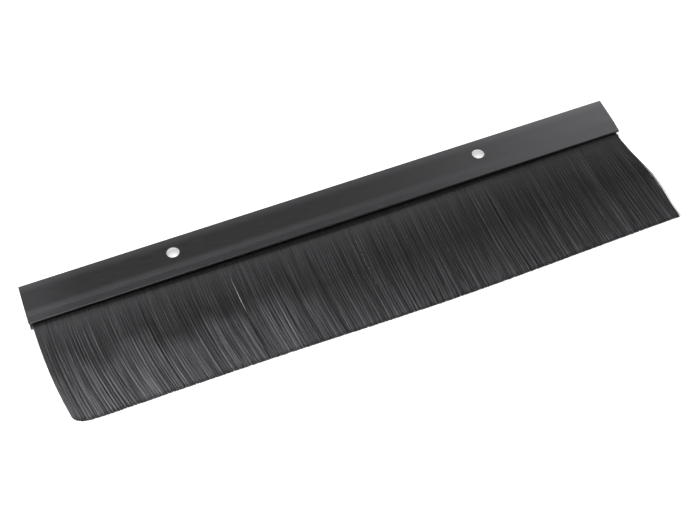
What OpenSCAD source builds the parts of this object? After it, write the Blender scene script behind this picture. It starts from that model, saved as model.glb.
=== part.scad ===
/* [Holder profile] */
// Length of the profile along the strip
holder_length = 400; // [300:5:600]
// Depth of the flat side, from the rear edge to the front of the upper jaw
flat_depth = 27.4; // [25:0.2:40]
// Wall thickness of the profile
wall = 1.2; // [1:0.1:1.5]
// Clear height inside the brush channel
channel_height = 5; // [4.6:0.1:5.8]
// Clear depth inside the brush channel, from the back wall to the upper lip
channel_depth = 4.9; // [4.6:0.1:6.5]
// Height of the slot between the two lips
mouth_height = 2.3; // [1.9:0.1:2.8]
// Thickness of each lip from front to back
lip_thickness = 1.3; // [1.1:0.1:2]
// How far the lower jaw reaches past the upper one
lower_reach = 1; // [0:0.1:2]
// Radius on the outer corners of both noses
nose_radius = 1; // [0.3:0.1:1]
// How far the upper jaw bends down just in front of the back wall
jaw_bend = 0.32; // [0:0.02:0.4]
// How much further the upper jaw slopes down to its nose
jaw_slope = 0.3; // [0:0.02:0.34]
// Radius on the lip edges beside the bristles
lip_radius = 0.4; // [0.2:0.05:0.5]
// Radius on the two rear edges of the flange
edge_radius = 0.35; // [0.1:0.05:0.45]
// Fillet where the walls of the profile meet
fillet_radius = 0.5; // [0.2:0.1:0.8]

/* [Fixing holes] */
// Distance between the centres of the two fixing holes
hole_spacing = 209; // [100:1:260]
// Diameter of the fixing holes
hole_diameter = 8.2; // [5.5:0.1:9]
// Distance from the hole centres to the rear edge of the flange
hole_to_edge = 10.6; // [8:0.1:12]

/* [Strip brush] */
// How far the brush stops short of each end of the profile
brush_recess = 1.8; // [0.5:0.1:6]
// Sheet thickness of the folded spine
spine_gauge = 0.5; // [0.4:0.05:0.6]
// Play between the spine and the channel on each side
spine_play = 0.1; // [0.05:0.01:0.15]
// Length of the arms of the spine that is crimped in at the mouth
crimp_length = 1; // [0.6:0.1:1.2]
// How far each arm of the spine is crimped in
crimp_depth = 0.4; // [0.2:0.05:0.5]
// Diameter of the core wire that the bristles are folded round
core_diameter = 1.4; // [1:0.1:1.8]
// Clearance between the packed bristles and the metal round them
bristle_play = 0.05; // [0.02:0.01:0.08]

/* [Bristles] */
// Longest bristles, measured from the front of the lower jaw to the tips
bristle_reach = 74.4; // [30:0.2:90]
// Height of the pack of bristles where it leaves the mouth, lying on the lower lip
neck_height = 1.3; // [1.2:0.05:1.8]
// Width of one lock of bristles with its gap
lock_pitch = 2.8; // [2.6:0.1:8]
// Gap between two locks at the root
root_gap = 0.3; // [0.2:0.05:0.6]
// Gap between two locks at the tips
tip_gap = 0.9; // [0.6:0.1:1.4]
// Thickness of each of the two layers at the root
root_layer = 0.55; // [0.4:0.05:0.55]
// Thickness of each of the two layers at the tips
tip_layer = 0.6; // [0.4:0.05:1]
// Gap between the upper and the lower layer
layer_gap = 0.06; // [0.04:0.01:0.08]
// Sideways lean of the tips towards the left end
lean_left = 11.5; // [0:0.5:14]
// Sideways lean of the tips towards the right end
lean_right = 2; // [0:0.5:6]
// How much of that lean is held back at the left end itself
edge_hold = 3.4; // [0:0.2:4]
// Extra lean of the last locks at the right end, which fan out
end_fan = 5.8; // [0:0.2:8]
// How much shorter the trimmed line is at the ends than at its longest
trim_bow = 2.8; // [0:0.2:8]
// How much the left corner of the trimmed line is rounded off
corner_loss = 5; // [0:0.5:8]
// Unevenness of the trimmed tips
tip_scatter = 0.8; // [0:0.1:1.5]

/* [Hidden] */
$fn = 48;
eps = 0.01;

// Depth positions of the profile: the hole centres lie at y = 0 and the front is towards -y
rear_y = hole_to_edge;
front_y = rear_y - flat_depth;
lip_back_y = front_y + lip_thickness;
wall_front_y = lip_back_y + channel_depth;
wall_rear_y = wall_front_y + wall;
low_front_y = front_y - lower_reach;
low_lip_back_y = low_front_y + lip_thickness;

// Heights of the profile: the flat mounting side lies at z = 0 and the channel hangs below it
profile_height = channel_height + 2 * wall;
channel_top = -wall;
channel_floor = -wall - channel_height;
mid_z = -profile_height / 2;
mouth_top = mid_z + mouth_height / 2;
nose_top = -jaw_bend - jaw_slope;
mouth_floor = mid_z - mouth_height / 2;

// Strip brush: the spine fills the channel less its play, and its back is a half round
brush_length = holder_length - 2 * brush_recess;
spine_half = channel_height / 2 - spine_play;
spine_back_y = wall_front_y - spine_play;
spine_front_y = lip_back_y + spine_play;
bend_y = spine_back_y - spine_half;
crimp_y = spine_front_y + crimp_length;
spine_inner_half = spine_half - spine_gauge;
pack_half = spine_inner_half - bristle_play;
slot_half = mouth_height / 2 - bristle_play;

// Bristles: the pack lies on the lower lip, and its two layers sink until they reach jaw level
neck_floor = mouth_floor + bristle_play;
neck_top = neck_floor + neck_height;
neck_z = neck_floor + neck_height / 2;
neck_reach = 0.6;
neck_front_y = low_front_y - neck_reach;
root_y = front_y;
slit_y = neck_front_y + neck_reach / 3;
tip_z = -profile_height + tip_layer + layer_gap / 2;
lock_count = floor(brush_length / lock_pitch);
lock_step = brush_length / lock_count;

// Shares of the brush length, counted from its middle or from one end
bow_centre = 0.13;
bow_share = 0.27;
corner_share = 0.008;
fan_share = 0.06;
hold_share = 0.05;
left_start = 0.1;
left_share = 0.5;
right_start = 0.14;
right_share = 0.1;

// Share of a bristle's length by which the fan at the right end is fully spread
fan_reach = 0.62;

// Jitter of the tips of both layers
upper_scatter = rands(-1, 1, 3 * (lock_count + 1), 11);
lower_scatter = rands(-1, 1, 3 * (lock_count + 1), 23);

// Climb from 0 to 1 that is level before and after, straight or smooth
function climb(t) = min(max(t, 0), 1);
function smooth(t) = let (c = climb(t)) c * c * (3 - 2 * c);

// Sideways shift of a bristle that is rooted at x, at the share v of its length
function sweep(x, v) =
    let (u = x / brush_length)
    let (left = lean_left * climb((left_start - u) / left_share))
    let (right = lean_right * climb((u - right_start) / right_share))
    let (hold = edge_hold * exp(-(0.5 + u) / hold_share))
    (left + right - hold) * v * v + end_fan * exp(-(0.5 - u) / fan_share) * smooth(v / fan_reach);

// Distance from the front of the lower jaw to the trimmed tips of a bristle that is rooted at x
function reach(x) =
    let (u = x / brush_length)
    bristle_reach - trim_bow * (1 - exp(-pow((u - bow_centre) / bow_share, 2)))
        - corner_loss * exp(-(0.5 + u) / corner_share);

// Outline of one lock in plan, from its left root round the tip to its right root
function lock(x, jitter) =
    let (half_root = (lock_step - root_gap) / 2, half_tip = (lock_step - tip_gap) / 2)
    let (half_mid = (half_root + half_tip) / 2)
    let (far = reach(x) + tip_scatter * jitter[0], drift = tip_gap / 4 * jitter[1])
    let (mid_x = x + sweep(x, 0.5) + drift / 2, tip_x = x + sweep(x, 1) + drift)
    let (mid_y = low_front_y - far / 2, tip_y = low_front_y - far)
    [
        [x - half_root, slit_y],
        [mid_x - half_mid, mid_y],
        [tip_x - half_tip, tip_y + tip_scatter * abs(jitter[2])],
        [tip_x + half_tip / 4, tip_y],
        [tip_x + half_tip, tip_y + tip_scatter / 2],
        [mid_x + half_mid, mid_y],
        [x + half_root, slit_y]
    ];

// Section of one layer; side is 1 for the upper and -1 for the lower one
function layer_outline(side) =
    let (tip_y = low_front_y - bristle_reach - tip_scatter - eps, near = side * layer_gap / 2)
    let (root_far = near + side * root_layer, tip_far = near + side * tip_layer)
    [
        [root_y, neck_z + near],
        [low_front_y, neck_z + near],
        [tip_y, tip_z + near],
        [tip_y, tip_z + tip_far],
        [low_front_y, neck_z + root_far],
        [root_y, neck_z + root_far]
    ];

// Draws a section given as (depth, height) along the strip, centred on x = 0
module along_strip(length) {
    translate([-length / 2, 0, 0])
        rotate([90, 0, 90])
            linear_extrude(length)
                children();
}

// What a rounded corner lacks or a fillet adds: a square in the corner at (y, z), less a circle.
// dy and dz point from the corner towards the centre of the circle.
module corner_web(y, z, dy, dz, radius) {
    translate([y, z])
        into_quadrant(dy, dz)
            difference() {
                translate([-eps, -eps])
                    square(radius + eps);
                translate([radius, radius])
                    circle(radius);
            }
}

// Turns a corner drawn for the first quadrant into the quadrant of (dy, dz)
module into_quadrant(dy, dz) {
    mirror([dy < 0 ? 1 : 0, 0])
        mirror([0, dz < 0 ? 1 : 0])
            children();
}

// Section of the extruded holder: flange, back wall and two lipped jaws, the upper one bent down
module holder_section() {
    difference() {
        union() {
            polygon([
                [rear_y, 0],
                [wall_rear_y, 0],
                [wall_front_y, -jaw_bend / 3],
                [wall_front_y - wall, -jaw_bend],
                [front_y, nose_top],
                [front_y, mouth_top],
                [lip_back_y, mouth_top],
                [lip_back_y, channel_top],
                [wall_front_y, channel_top],
                [wall_front_y, channel_floor],
                [low_lip_back_y, channel_floor],
                [low_lip_back_y, mouth_floor],
                [low_front_y, mouth_floor],
                [low_front_y, -profile_height],
                [wall_rear_y, -profile_height],
                [wall_rear_y, channel_top],
                [rear_y, channel_top]
            ]);
            corner_web(wall_rear_y, channel_top, 1, -1, fillet_radius);
        }
        corner_web(front_y, nose_top, 1, -1, nose_radius);
        corner_web(low_front_y, -profile_height, 1, 1, nose_radius);
        corner_web(front_y, mouth_top, 1, 1, lip_radius);
        corner_web(low_front_y, mouth_floor, 1, -1, lip_radius);
        corner_web(wall_rear_y, -profile_height, -1, 1, fillet_radius);
        corner_web(rear_y, 0, -1, -1, edge_radius);
        corner_web(rear_y, channel_top, -1, 1, edge_radius);
    }
}

// Extruded aluminium holder with its two fixing holes
module holder_profile() {
    color([0.09, 0.09, 0.1])
        difference() {
            along_strip(holder_length)
                holder_section();
            for (side = [-1, 1])
                translate([side * hole_spacing / 2, 0, -wall - 1])
                    cylinder(h = wall + 2, d = hole_diameter);
        }
}

// Outline of the spine at half its height: round at the back, narrowed by the crimp at the mouth
module spine_outline(half, mouth_y) {
    intersection() {
        union() {
            translate([bend_y, mid_z])
                circle(half);
            polygon([
                [bend_y, mid_z + half],
                [crimp_y, mid_z + half],
                [mouth_y, mid_z + half - crimp_depth],
                [mouth_y, mid_z - half + crimp_depth],
                [crimp_y, mid_z - half],
                [bend_y, mid_z - half]
            ]);
        }
        translate([mouth_y, mid_z - channel_height / 2])
            square(channel_height + channel_depth);
    }
}

// Folded steel spine, round at the back and crimped in at the mouth
module brush_spine() {
    color([0.72, 0.73, 0.74])
        along_strip(brush_length)
            difference() {
                spine_outline(spine_half, spine_front_y);
                spine_outline(spine_inner_half, spine_front_y - eps);
            }
}

// Round wire that the bristles are folded round
module core_wire() {
    color([0.62, 0.63, 0.65])
        translate([-brush_length / 2, bend_y, mid_z])
            rotate([0, 90, 0])
                cylinder(h = brush_length, d = core_diameter);
}

// Section of the packed bristles round the wire, and their neck over the lower lip
module pack_section() {
    difference() {
        union() {
            translate([bend_y, mid_z])
                circle(pack_half);
            polygon([
                [bend_y, mid_z + pack_half],
                [crimp_y, mid_z + pack_half],
                [spine_front_y, mid_z + slot_half],
                [front_y, neck_top],
                [neck_front_y, neck_top],
                [neck_front_y, neck_floor],
                [spine_front_y, neck_floor],
                [crimp_y, mid_z - pack_half],
                [bend_y, mid_z - pack_half]
            ]);
        }
        translate([bend_y, mid_z])
            circle(core_diameter / 2 + bristle_play);
    }
}

// One layer of locks: its plan outline cut out of the sagging sheet
module lock_layer(side, centres, scatter) {
    last = len(centres) - 1;
    plan = [for (i = [0 : last])
        let (jitter = [scatter[3 * i], scatter[3 * i + 1], scatter[3 * i + 2]])
        each lock(centres[i], jitter)];
    first_x = plan[0][0];
    last_x = plan[len(plan) - 1][0];
    intersection() {
        translate([0, 0, -profile_height - 1])
            linear_extrude(profile_height + 2)
                polygon(concat([[first_x, root_y]], plan, [[last_x, root_y]]));
        along_strip(2 * holder_length)
            polygon(layer_outline(side));
    }
}

// All bristles, folded round the core wire and spread in an upper and a lower layer
module bristles() {
    upper_centres = [for (i = [0 : lock_count - 1]) (i + 0.5) * lock_step - brush_length / 2];
    lower_centres = [for (i = [1 : lock_count - 1]) i * lock_step - brush_length / 2];
    color([0.13, 0.13, 0.14])
        union() {
            along_strip(brush_length)
                pack_section();
            lock_layer(1, upper_centres, upper_scatter);
            lock_layer(-1, lower_centres, lower_scatter);
        }
}

holder_profile();
brush_spine();
core_wire();
bristles();
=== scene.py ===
import math

import bpy
import numpy as np
from mathutils import Matrix, Vector


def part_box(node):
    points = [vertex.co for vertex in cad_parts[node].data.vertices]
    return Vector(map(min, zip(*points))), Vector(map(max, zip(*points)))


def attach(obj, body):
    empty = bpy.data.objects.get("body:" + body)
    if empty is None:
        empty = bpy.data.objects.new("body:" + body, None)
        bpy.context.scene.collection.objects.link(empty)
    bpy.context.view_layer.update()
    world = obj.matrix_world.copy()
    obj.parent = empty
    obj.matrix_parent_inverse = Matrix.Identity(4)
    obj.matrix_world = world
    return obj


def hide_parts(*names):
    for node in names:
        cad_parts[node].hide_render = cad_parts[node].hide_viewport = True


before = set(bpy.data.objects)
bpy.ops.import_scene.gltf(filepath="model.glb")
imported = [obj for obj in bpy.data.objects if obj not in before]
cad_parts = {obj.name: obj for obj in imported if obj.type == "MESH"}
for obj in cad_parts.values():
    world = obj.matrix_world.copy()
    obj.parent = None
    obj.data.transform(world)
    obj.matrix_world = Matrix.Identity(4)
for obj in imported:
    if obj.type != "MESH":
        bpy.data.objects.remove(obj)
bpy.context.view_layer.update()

MM = 0.001

# Camera, as the photograph has it: distances in metres, angles in degrees
CAMERA_TARGET = Vector((-4.91, -47.92, 0.0)) * MM
CAMERA_AZIMUTH = -21.26
CAMERA_ELEVATION = 57.57
CAMERA_ROLL = -0.35
CAMERA_DISTANCE = 0.729
CAMERA_LENS = 60.64
SENSOR_WIDTH = 36.0
NEAREST_SEEN = 0.01

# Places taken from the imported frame
HOLDER_LOW, HOLDER_HIGH = (Vector(corner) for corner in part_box("holder_profile"))
SPINE_LOW, SPINE_HIGH = (Vector(corner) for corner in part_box("brush_spine"))
FLOOR_Z = HOLDER_LOW.z
JAW_FRONT_Y = HOLDER_LOW.y
STRIP_LENGTH = HOLDER_HIGH.x - HOLDER_LOW.x
BRUSH_LENGTH = SPINE_HIGH.x - SPINE_LOW.x

# Lamps: name, place, target, size in metres, power in watts
LAMPS = [
    ("key", (0.84, 0.75, 0.78), (0.0, -0.03, 0.0), (0.6, 0.5), 4.15),
    ("left", (-0.6, 0.1, 0.35), (-0.15, -0.06, 0.0), (0.3, 0.3), 2.5),
    ("overhead", (-0.2, -0.05, 0.95), (-0.2, -0.05, 0.0), (0.85, 0.5), 7.0),
    ("overhead_right", (0.65, 0.22, 0.9), (0.65, 0.22, 0.0), (0.5, 0.4), 1.9),
    ("front", (-0.35, -0.95, 0.45), (-0.1, 0.0, 0.0), (0.6, 0.5), 7.5),
]
AMBIENT = 0.22
GROUND_HALF = 4.0
GROUND_GREY = 0.8
GROUND_GLOW = 0.45

# Tints of the black finishes and of the light they reflect
COOL_TINT = (1.01, 1.0, 1.05)
COOL_SHEEN = (0.965, 0.955, 1.0, 1.0)

# Coating: greys and roughness of the grain, and how much painted reflection lightens the rear edge
# and the left end
COATING_GREYS = [(0.3, 0.007), (0.7, 0.011)]
COATING_ROUGHNESS = [(0.3, 0.32), (0.7, 0.39)]
REAR_PAINTED_SHEEN, REAR_FROM, REAR_TO = 0.024, 0.003, 0.011
END_PAINTED_SHEEN, END_FROM, END_TO = 0.011, -0.16, -0.2
COATING_GRAIN = ((0.4, 8.0, 8.0), 240.0)
SPECKLE_SIZE, SPECKLE_DEPTH, SPECKLE_STRENGTH = 2600.0, 0.0001, 0.06
# Rounding of the bend in the upper jaw, in mm: from and to in y, change of height,
# and power of the climb
BEND_ROUNDING = [(-7.0, -9.3, -0.111, 2.0), (-9.3, -10.5, -0.029, 1.0), (-10.5, -11.7, 0.080, 1.0),
                 (-13.5, -11.7, 0.028, 2.0)]

# Steel: greys as shares of the named grey, roughness, and size of the spangle
STEEL_DARK, STEEL_LIGHT = 0.82, 1.1
STEEL_ROUGHNESS = [(0.3, 0.3), (0.7, 0.5)]
SPANGLE_SIZE = 420.0

# Strands: how many, how thick, and the points along each
BANKS = 4
FILAMENTS_PER_BANK = 3200
FILAMENT_RADIUS = 0.17 * MM
SIDES = 3
SEGMENTS = 8
LAST_RING = 0.992
RING_CROWDING = 1.15
SEED = 41
STRAND_MAP = "strand_places"

# Height of the strands: thin in the mouth, higher towards both ends, settling on the table
ROOT_DEPTH = 2.2 * MM
MOUTH_Z = -4.6 * MM
MOUTH_HALF = 0.35 * MM
TIP_HALF = 0.5 * MM
END_LIFT = 1.1 * MM
LIFT_CENTRE = -0.075
SETTLE = 0.7
LEAST_CLEARANCE = 1.2 * FILAMENT_RADIUS

# Trimmed line: reach past the lower jaw, its crown, the lost corner, and the raggedness of the cut
END_REACH = 71.1 * MM
CROWN = 2.8 * MM
CROWN_PLACE = 0.13
CROWN_WIDTH = 0.27
CORNER_LOSS = 5.0 * MM
CORNER_WIDTH = 0.008
TIP_SPARE = 0.3 * MM
CUT_SHAPE = 1.4
CUT_SCALE = 0.5 * MM

# Sideways sweep of the tips; places and widths are shares of the brush, from its middle
LEAN_LEFT = 11.5 * MM
LEAN_LEFT_FROM, LEAN_LEFT_SHARE = 0.1, 0.5
LEAN_RIGHT = 2.0 * MM
LEAN_RIGHT_FROM, LEAN_RIGHT_SHARE = 0.14, 0.1
EDGE_HOLD = 4.4 * MM
EDGE_WIDTH = 0.05
END_FAN = 5.8 * MM
FAN_WIDTH = 0.06
FAN_REACH = 0.62

# Disorder: waves that neighbours share (lengths, slope, growth along the strand),
# how much they shear and warp, and each strand's own drift
SIDE_WAVES = ((0.009, 0.017, 0.045), 0.012, 1.5)
UP_WAVES = ((0.006, 0.013, 0.027), 0.006, 0.8)
WAVE_SHEAR = 1.5
WAVE_WARP, WARP_RATE = 0.6, 0.37
SIDE_SCATTER = 0.12 * MM
SIDE_SCATTER_GROWTH = 1.2
UP_SCATTER = 0.1 * MM
STRAY_ZONE = 0.488
STRAY_SHARE = 0.45
STRAY_BULGE = 2.0 * MM
STRAY_PLACE = 0.6
STRAY_WIDTH = 0.25

# Nylon: clumps that strands form side by side, and the greys of clump, field and single strand; the
# dark at clump borders and in the field is painted shade between strands
CLUMPS = 215.0
CLUMP_DRIFT = 1.4
FINE_STRETCH = (900.0, 2.0, 1.0)
DRIFT_STRETCH = (80.0, 1.2, 1.0)
CLUMP_SHADE_GREYS = [(0.0, 0.08), (0.2, 0.6), (0.5, 1.0), (0.8, 0.6), (1.0, 0.08)]
FIELD_GREYS = [(0.34, 0.4), (0.6, 1.0)]
STRAND_GREYS = [(0.0, 0.15), (0.3, 0.3), (0.7, 0.6), (1.0, 0.9)]
EVEN_GREY = 0.2
NYLON_GAIN = 0.57
# Where the strands part from the even pack, and the fringe of tips darkened by painted shade
PARTING_FROM, PARTING_TO = -0.020, -0.042
FRINGE_FROM, FRINGE_TO, TIP_SHADE_GREY = 0.99, 0.97, 0.55
# Painted shadow in the mouth under the jaw and painted light and shade from there to the tips, and
# how far the painted shadow of the mouth reaches out along the strip
ROOT_Y, TIP_Y = -0.0198, -0.0938
OUTWARD_LIGHT_AND_SHADE = [(0.0, 0.09), (0.002, 0.09), (0.018, 0.3), (0.12, 0.2), (0.3, 0.12), (0.45, 0.1),
               (0.6, 0.17), (0.9, 0.3), (1.0, 0.5)]
MOUTH_SHADE = [(0.0, 0.35), (0.12, 0.3), (0.3, 0.16), (0.45, 0.0), (0.6, 0.03),
               (0.7, 0.22), (0.82, 0.55), (0.9, 0.7), (1.0, 0.8)]
MOUTH_SHADE_DEPTH = 0.004
# Painted sheen in a field at the left with a cloudy border, painted light at the left end, painted
# shade at the right end
CLOUD_SIZE, CLOUD_REACH = 28.0, 0.07
FIELD_ALONG_FROM, FIELD_ALONG_TO = -0.015, -0.06
FIELD_OUT_FROM, FIELD_OUT_TO = -0.046, -0.064
FIELD_PAINTED_SHEEN = 0.22
LEFT_FROM, LEFT_TO, LEFT_PAINTED_LIGHT = -0.1, -0.19, 0.08
RIGHT_FROM, RIGHT_TO, RIGHT_PAINTED_SHADE = 0.05, 0.13, -0.2
NYLON_ROUGHNESS, NYLON_ROUGHNESS_DROP = 0.75, 0.5
NYLON_SPECULAR = 0.3


class Nodes:
    """Adds nodes to one node tree; each method gives back an output."""

    def __init__(self, tree):
        self.nodes, self.links = tree.nodes, tree.links

    def output(self, kind, name):
        """An output of a new node that needs no input."""
        return self.nodes.new(kind).outputs[name]

    def strand_place(self):
        """Each strand's own map: root's share of the strip, share of the strand's length."""
        own = self.nodes.new("ShaderNodeUVMap")
        own.uv_map = STRAND_MAP
        return own.outputs["UV"]

    def axes(self, source):
        """First and second coordinate of a vector."""
        split = self.nodes.new("ShaderNodeSeparateXYZ")
        self.links.new(source, split.inputs["Vector"])
        return split.outputs["X"], split.outputs["Y"]

    def noise(self, source, stretch, size=1.0, detail=3.0, roughness=0.55):
        """Noise on any coordinates, stretched along their axes."""
        mapping = self.nodes.new("ShaderNodeMapping")
        mapping.inputs["Scale"].default_value = stretch
        noise = self.nodes.new("ShaderNodeTexNoise")
        noise.inputs["Scale"].default_value = size
        noise.inputs["Detail"].default_value = detail
        noise.inputs["Roughness"].default_value = roughness
        self.links.new(source, mapping.inputs["Vector"])
        self.links.new(mapping.outputs["Vector"], noise.inputs["Vector"])
        return noise.outputs["Fac"]

    def ramp(self, source, stops):
        """A colour ramp; stops are (position, grey)."""
        made = self.nodes.new("ShaderNodeValToRGB")
        elements = made.color_ramp.elements
        for element, (position, grey) in zip(elements, (stops[0], stops[-1])):
            element.position = position
            element.color = (grey, grey, grey, 1)
        for position, grey in stops[1:-1]:
            element = elements.new(position)
            element.color = (grey, grey, grey, 1)
        self.links.new(source, made.inputs["Fac"])
        return made.outputs["Color"]

    def math(self, operation, *values):
        """A maths node; each value is a socket or a number."""
        made = self.nodes.new("ShaderNodeMath")
        made.operation = operation
        for socket, value in zip(made.inputs, values):
            if isinstance(value, (int, float)):
                socket.default_value = value
            else:
                self.links.new(value, socket)
        return made.outputs[0]

    def plus(self, first, second):
        """Sum of two sockets or numbers."""
        return self.math("ADD", first, second)

    def times(self, first, second):
        """Product of two sockets or numbers."""
        return self.math("MULTIPLY", first, second)

    def climb(self, source, low, high, smooth=True):
        """From 0 to 1 as the source goes from low to high, level before and after."""
        made = self.nodes.new("ShaderNodeMapRange")
        made.interpolation_type = "SMOOTHSTEP" if smooth else "LINEAR"
        made.inputs["From Min"].default_value = low
        made.inputs["From Max"].default_value = high
        self.links.new(source, made.inputs["Value"])
        return made.outputs["Result"]

    def tint(self, grey):
        """A grey made a little cool, as black finishes are."""
        made = self.nodes.new("ShaderNodeVectorMath")
        made.operation = "SCALE"
        made.inputs[0].default_value = COOL_TINT
        self.links.new(grey, made.inputs["Scale"])
        return made.outputs[0]

    def bump(self, height, distance, strength=1.0, below=None):
        """A normal from a height in metres per distance, on top of another normal."""
        made = self.nodes.new("ShaderNodeBump")
        made.inputs["Strength"].default_value = strength
        made.inputs["Distance"].default_value = distance
        self.links.new(height, made.inputs["Height"])
        if below is not None:
            self.links.new(below, made.inputs["Normal"])
        return made.outputs["Normal"]


def new_material(name):
    """A new node material, what adds nodes to it, and the inputs of its shader."""
    made = bpy.data.materials.new(name)
    made.use_nodes = True
    return made, Nodes(made.node_tree), made.node_tree.nodes["Principled BSDF"].inputs


def holder_material():
    """Satin black coating with a faint grain along the extrusion and a rounded bend, and painted
    reflections lightening its rear edge and left end.
    """
    made, add, inputs = new_material("holder_coating")
    place = add.output("ShaderNodeTexCoord", "Object")
    along, out = add.axes(place)
    grain = add.noise(place, *COATING_GRAIN)
    # Painted reflection: the rear edge and the left end are lightened
    rear = add.times(add.climb(out, REAR_FROM, REAR_TO), REAR_PAINTED_SHEEN)
    end = add.times(add.climb(along, END_FROM, END_TO), END_PAINTED_SHEEN)
    grey = add.plus(add.ramp(grain, COATING_GREYS), add.plus(rear, end))
    add.links.new(add.tint(grey), inputs["Base Color"])
    add.links.new(add.ramp(grain, COATING_ROUGHNESS), inputs["Roughness"])
    inputs["Metallic"].default_value = 0.0
    inputs["Specular IOR Level"].default_value = 0.5
    inputs["Specular Tint"].default_value = COOL_SHEEN
    height = 0.0
    for high, low, drop, power in BEND_ROUNDING:
        step = add.math("POWER", add.climb(out, high * MM, low * MM, smooth=False), power)
        height = add.plus(add.times(step, drop * MM), height)
    speckle = add.noise(place, (1.0, 1.0, 1.0), SPECKLE_SIZE, detail=2.0)
    fine = add.bump(speckle, SPECKLE_DEPTH, strength=SPECKLE_STRENGTH)
    add.links.new(add.bump(height, 1.0, below=fine), inputs["Normal"])
    return made


def steel_material(name, grey, stretch):
    """Galvanised or drawn steel: uneven grey with light scratches along the strip."""
    made, add, inputs = new_material(name)
    inputs["Metallic"].default_value = 1.0
    spangle = add.noise(add.output("ShaderNodeTexCoord", "Object"), stretch, SPANGLE_SIZE)
    greys = [(0.3, grey * STEEL_DARK), (0.7, grey * STEEL_LIGHT)]
    add.links.new(add.ramp(spangle, greys), inputs["Base Color"])
    add.links.new(add.ramp(spangle, STEEL_ROUGHNESS), inputs["Roughness"])
    return made


def strand_kind(add, own_place):
    """How light each strand is: clumps at fairly even steps, darker at their borders by painted
    shade, a finer field with painted shade in its dark lines, and its own share.
    """
    root, _ = add.axes(own_place)
    # Painted shade between strands: the finer field's dark lines and the clumps' dark borders
    fine = add.noise(own_place, FINE_STRETCH, detail=1.0, roughness=0.5)
    drift = add.noise(own_place, DRIFT_STRETCH, detail=1.0, roughness=0.5)
    count = add.plus(add.times(root, CLUMPS), add.times(drift, CLUMP_DRIFT))
    clump_shade = add.ramp(add.math("FRACT", count), CLUMP_SHADE_GREYS)
    single = add.ramp(add.output("ShaderNodeNewGeometry", "Random Per Island"), STRAND_GREYS)
    return add.times(add.times(clump_shade, add.ramp(fine, FIELD_GREYS)), single)


def nylon_painted_light(add, place):
    """Grey of the whole pack: painted shadow in the mouth, painted light and shade out to the tips,
    a painted sheen at the left, painted light at the left end and painted shade at the right end.
    """
    along, out = add.axes(place)
    cloud = add.noise(place, (1.0, 0.6, 1.0), CLOUD_SIZE, detail=2.0)
    shift = add.times(add.math("SUBTRACT", cloud, 0.5), CLOUD_REACH)
    strip_share = add.plus(add.times(along, 1.0 / STRIP_LENGTH), 0.5)
    # Painted shadow of the jaw in the mouth, then painted light and shade out to the tips
    shade = add.times(add.ramp(strip_share, MOUTH_SHADE), MOUTH_SHADE_DEPTH)
    share = add.climb(add.math("SUBTRACT", out, shade), ROOT_Y, TIP_Y, smooth=False)
    level = add.ramp(share, OUTWARD_LIGHT_AND_SHADE)
    # Painted sheen: a lighter field at the left
    leftward = add.climb(add.plus(along, shift), FIELD_ALONG_FROM, FIELD_ALONG_TO)
    outward = add.climb(add.plus(out, shift), FIELD_OUT_FROM, FIELD_OUT_TO)
    painted_sheen = add.times(add.times(leftward, outward), FIELD_PAINTED_SHEEN)
    # Painted light at the left end, painted shade at the right end
    left_light = add.times(add.climb(along, LEFT_FROM, LEFT_TO), LEFT_PAINTED_LIGHT)
    right_shade = add.times(add.climb(along, RIGHT_FROM, RIGHT_TO), RIGHT_PAINTED_SHADE)
    return add.times(add.plus(add.plus(level, painted_sheen), left_light), add.plus(right_shade, 1.0))


def bristle_material():
    """Black nylon monofilament: even at the roots, uneven strand by strand further out, with
    painted light and shade.
    """
    made, add, inputs = new_material("bristle_strands")
    place = add.output("ShaderNodeTexCoord", "Object")
    _, out = add.axes(place)
    own_place = add.strand_place()
    _, length_share = add.axes(own_place)
    kind = strand_kind(add, own_place)
    parted = add.climb(out, PARTING_FROM, PARTING_TO)
    even = add.times(add.math("SUBTRACT", 1.0, parted), EVEN_GREY)
    # Painted shade: the tips' fringe is darkened
    tip_shade = add.times(1.0 - TIP_SHADE_GREY, add.climb(length_share, FRINGE_FROM, FRINGE_TO))
    own = add.times(add.times(kind, parted), add.plus(TIP_SHADE_GREY, tip_shade))
    grey = add.times(add.times(add.plus(own, even), nylon_painted_light(add, place)), NYLON_GAIN)
    add.links.new(add.tint(grey), inputs["Base Color"])
    roughness = add.math("SUBTRACT", NYLON_ROUGHNESS, add.times(kind, NYLON_ROUGHNESS_DROP))
    add.links.new(roughness, inputs["Roughness"])
    inputs["Specular IOR Level"].default_value = NYLON_SPECULAR
    inputs["Specular Tint"].default_value = COOL_SHEEN
    return made


def stage_material():
    """White ground that the camera sees as white, with the object's shadow kept."""
    made, add, inputs = new_material("ground")
    inputs["Base Color"].default_value = (GROUND_GREY, GROUND_GREY, GROUND_GREY, 1)
    inputs["Roughness"].default_value = 0.9
    path = add.nodes.new("ShaderNodeLightPath").outputs
    seen = add.math("MAXIMUM", path["Is Camera Ray"], path["Is Glossy Ray"])
    seen = add.math("MAXIMUM", seen, path["Is Transmission Ray"])
    inputs["Emission Color"].default_value = (1, 1, 1, 1)
    add.links.new(add.times(seen, GROUND_GLOW), inputs["Emission Strength"])
    return made


def waves(rng, x, v, lengths, slope, growth):
    """Smooth sideways or upward drift that strands near each other share."""
    total = np.zeros((x.size, v.size))
    for length in lengths:
        phase, turn = rng.uniform(0, 2 * math.pi, 2)
        shear = rng.uniform(-WAVE_SHEAR, WAVE_SHEAR)
        angle = 2 * math.pi * x[:, None] / length + phase + shear * v[None, :]
        total += slope * length * np.sin(angle + WAVE_WARP * np.sin(angle * WARP_RATE + turn))
    return total * v[None, :] ** growth


def smooth(t):
    """Climb from 0 to 1 that is level before and after."""
    t = np.clip(t, 0, 1)
    return t * t * (3 - 2 * t)


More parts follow.
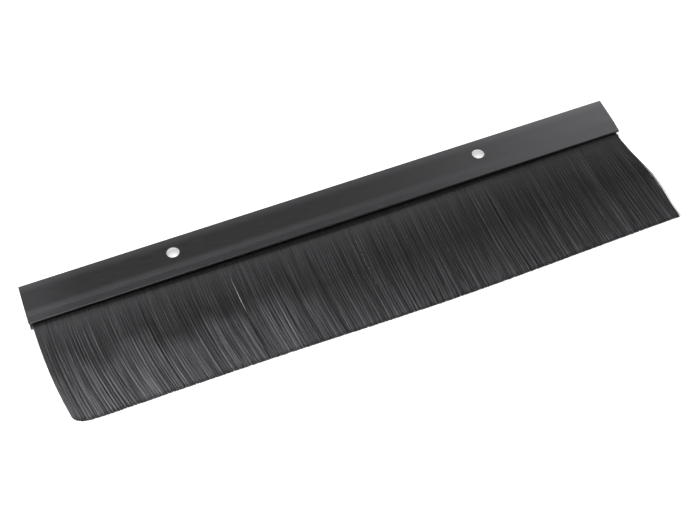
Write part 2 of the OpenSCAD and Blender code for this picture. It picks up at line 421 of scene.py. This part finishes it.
def sweep(x, v):
    """Sideways shift of strands rooted at x, at the shares v of their length."""
    u = x / BRUSH_LENGTH
    lean = LEAN_LEFT * np.clip((LEAN_LEFT_FROM - u) / LEAN_LEFT_SHARE, 0, 1)
    lean += LEAN_RIGHT * np.clip((u - LEAN_RIGHT_FROM) / LEAN_RIGHT_SHARE, 0, 1)
    lean -= EDGE_HOLD * np.exp(-(0.5 + u) / EDGE_WIDTH)
    fan = END_FAN * np.exp(-(0.5 - u) / FAN_WIDTH)
    return lean[:, None] * v[None, :] ** 2 + fan[:, None] * smooth(v / FAN_REACH)[None, :]


def reach(x):
    """Distance from the lower jaw to the trimmed line for strands rooted at x."""
    u = x / BRUSH_LENGTH
    crown = CROWN * np.exp(-((u - CROWN_PLACE) / CROWN_WIDTH) ** 2)
    return END_REACH + crown - CORNER_LOSS * np.exp(-(0.5 + u) / CORNER_WIDTH)


def middle_height(x, v):
    """Height of the middle of the pack, from the mouth down to the table."""
    lift = END_LIFT * (2 * (x / BRUSH_LENGTH - LIFT_CENTRE)) ** 2
    rest = FLOOR_Z + TIP_HALF + FILAMENT_RADIUS
    fall = smooth(v / SETTLE)
    return (MOUTH_Z + lift)[:, None] * (1 - fall) + rest * fall


def strand_paths(rng, count):
    """Centre lines of one bank's strands, and each point's place in the strands' own map."""
    x = rng.uniform(-0.5, 0.5, count) * BRUSH_LENGTH
    level = rng.uniform(-1, 1, count)
    v = np.append(np.linspace(0, LAST_RING, SEGMENTS) ** RING_CROWDING, 1.0)
    length = reach(x) + TIP_SPARE - rng.gamma(CUT_SHAPE, CUT_SCALE, count)
    forward = JAW_FRONT_Y + ROOT_DEPTH - v[None, :] * (length + ROOT_DEPTH)[:, None]
    side = x[:, None] + sweep(x, v)
    side += waves(rng, x, v, *SIDE_WAVES)
    side += rng.normal(0, SIDE_SCATTER, count)[:, None] * v[None, :] ** SIDE_SCATTER_GROWTH
    stray = (x / BRUSH_LENGTH > STRAY_ZONE) & (rng.random(count) < STRAY_SHARE)
    bulge = STRAY_BULGE * np.exp(-((v - STRAY_PLACE) / STRAY_WIDTH) ** 2)
    side += stray[:, None] * bulge[None, :]
    half = MOUTH_HALF + (TIP_HALF - MOUTH_HALF) * v
    up = middle_height(x, v) + level[:, None] * half[None, :]
    up += waves(rng, x, v, *UP_WAVES)
    up += rng.normal(0, UP_SCATTER, count)[:, None] * v[None, :]
    up = np.maximum(up, FLOOR_Z + LEAST_CLEARANCE)
    places = np.broadcast_arrays(x[:, None] / BRUSH_LENGTH + 0.5, v[None, :])
    return np.stack([side, forward, up], axis=2), np.stack(places, axis=2)


def tube_mesh(name, paths, places, radius, twist):
    """One mesh of closed three-sided tubes, one along each path, with the strands' own map."""
    count, points = paths.shape[:2]
    corner = np.arange(SIDES)
    angle = twist[:, None] + (corner * 2 * math.pi / SIDES)[None, :]
    ring = np.stack([np.cos(angle), np.zeros_like(angle), np.sin(angle)], axis=2) * radius
    vertices = (paths[:, :, None, :] + ring[:, None, :, :]).reshape(-1, 3)
    first = (np.arange(count) * points * SIDES)[:, None]
    now = first[:, :, None] + (np.arange(points - 1) * SIDES)[None, :, None] + corner
    after = now - corner + (corner + 1) % SIDES
    quads = np.stack([now, after, after + SIDES, now + SIDES], axis=3).reshape(-1, 4)
    roots = first + corner[::-1]
    tips = first + (points - 1) * SIDES + corner
    caps = np.concatenate([roots, tips])
    mesh = bpy.data.meshes.new(name)
    mesh.vertices.add(len(vertices))
    mesh.vertices.foreach_set("co", vertices.ravel())
    loops = np.concatenate([quads.ravel(), caps.ravel()])
    mesh.loops.add(len(loops))
    mesh.loops.foreach_set("vertex_index", loops)
    quad_starts = np.arange(len(quads)) * 4
    cap_starts = quads.size + np.arange(len(caps)) * SIDES
    starts = np.concatenate([quad_starts, cap_starts])
    mesh.polygons.add(len(starts))
    mesh.polygons.foreach_set("loop_start", starts)
    mesh.update(calc_edges=True)
    spots = np.repeat(places.reshape(-1, 2), SIDES, axis=0)
    own = mesh.uv_layers.new(name=STRAND_MAP)
    own.uv.foreach_set("vector", spots[loops].astype(np.float32).ravel())
    mesh.validate()
    mesh.polygons.foreach_set("use_smooth", np.arange(len(starts)) < len(quads))
    return mesh


def show(name, data):
    """A new object in the scene."""
    made = bpy.data.objects.new(name, data)
    bpy.context.scene.collection.objects.link(made)
    return made


def make_bristles():
    """All strands, in a few banks that lie through each other like the real ones."""
    nylon = bristle_material()
    for bank in range(BANKS):
        rng = np.random.default_rng(SEED + bank)
        paths, places = strand_paths(rng, FILAMENTS_PER_BANK)
        twist = rng.uniform(0, 2 * math.pi, len(paths))
        name = f"bristle_bank_{bank + 1}"
        piece = show(name, tube_mesh(name, paths, places, FILAMENT_RADIUS, twist))
        piece.data.materials.append(nylon)
        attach(piece, "root")
        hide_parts("bristles")


def dress(node, made):
    """Gives a carried-over CAD node its material."""
    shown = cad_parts[node]
    shown.data.materials.clear()
    shown.data.materials.append(made)


def make_stage():
    """White ground under the strip."""
    mesh = bpy.data.meshes.new("ground")
    turns = ((-1, -1), (1, -1), (1, 1), (-1, 1))
    corners = [(GROUND_HALF * x, GROUND_HALF * y, FLOOR_Z) for x, y in turns]
    mesh.from_pydata(corners, [], [(0, 1, 2, 3)])
    mesh.materials.append(stage_material())
    show("ground", mesh)


def area_light(name, place, target, size, power):
    """A rectangular soft light at place, aimed at target."""
    lamp = bpy.data.lights.new(name, "AREA")
    lamp.shape = "RECTANGLE"
    lamp.size, lamp.size_y = size
    lamp.energy = power
    stand = show(name, lamp)
    stand.location = place
    stand.rotation_euler = (Vector(target) - Vector(place)).to_track_quat("-Z", "Y").to_euler()


def make_lights():
    """Soft lamps behind, low on the left, overhead and in front, in a dim even world."""
    for lamp in LAMPS:
        area_light(*lamp)
    world = bpy.data.worlds.new("studio")
    bpy.context.scene.world = world
    world.use_nodes = True
    back = world.node_tree.nodes["Background"]
    back.inputs["Color"].default_value = (1, 1, 1, 1)
    back.inputs["Strength"].default_value = AMBIENT


def make_camera():
    """The photograph's view: a target, the angles round it and the distance."""
    azimuth, elevation = math.radians(CAMERA_AZIMUTH), math.radians(CAMERA_ELEVATION)
    away = Vector((math.sin(azimuth) * math.cos(elevation),
                   -math.cos(azimuth) * math.cos(elevation),
                   math.sin(elevation)))
    camera = bpy.data.cameras.new("camera")
    camera.lens = CAMERA_LENS
    camera.sensor_width = SENSOR_WIDTH
    camera.clip_start = NEAREST_SEEN
    stand = show("camera", camera)
    turn = (-away).to_track_quat("-Z", "Y").to_matrix().to_4x4()
    roll = Matrix.Rotation(math.radians(CAMERA_ROLL), 4, "Z")
    place = Matrix.Translation(CAMERA_TARGET + away * CAMERA_DISTANCE)
    stand.matrix_world = place @ turn @ roll
    bpy.context.scene.camera = stand


make_camera()
make_bristles()
dress("holder_profile", holder_material())
dress("brush_spine", steel_material("spine_zinc", 0.6, (0.3, 1.0, 1.0)))
dress("core_wire", steel_material("core_drawn", 0.5, (0.1, 2.0, 2.0)))
make_stage()
make_lights()
bpy.context.scene.view_settings.view_transform = "Standard"
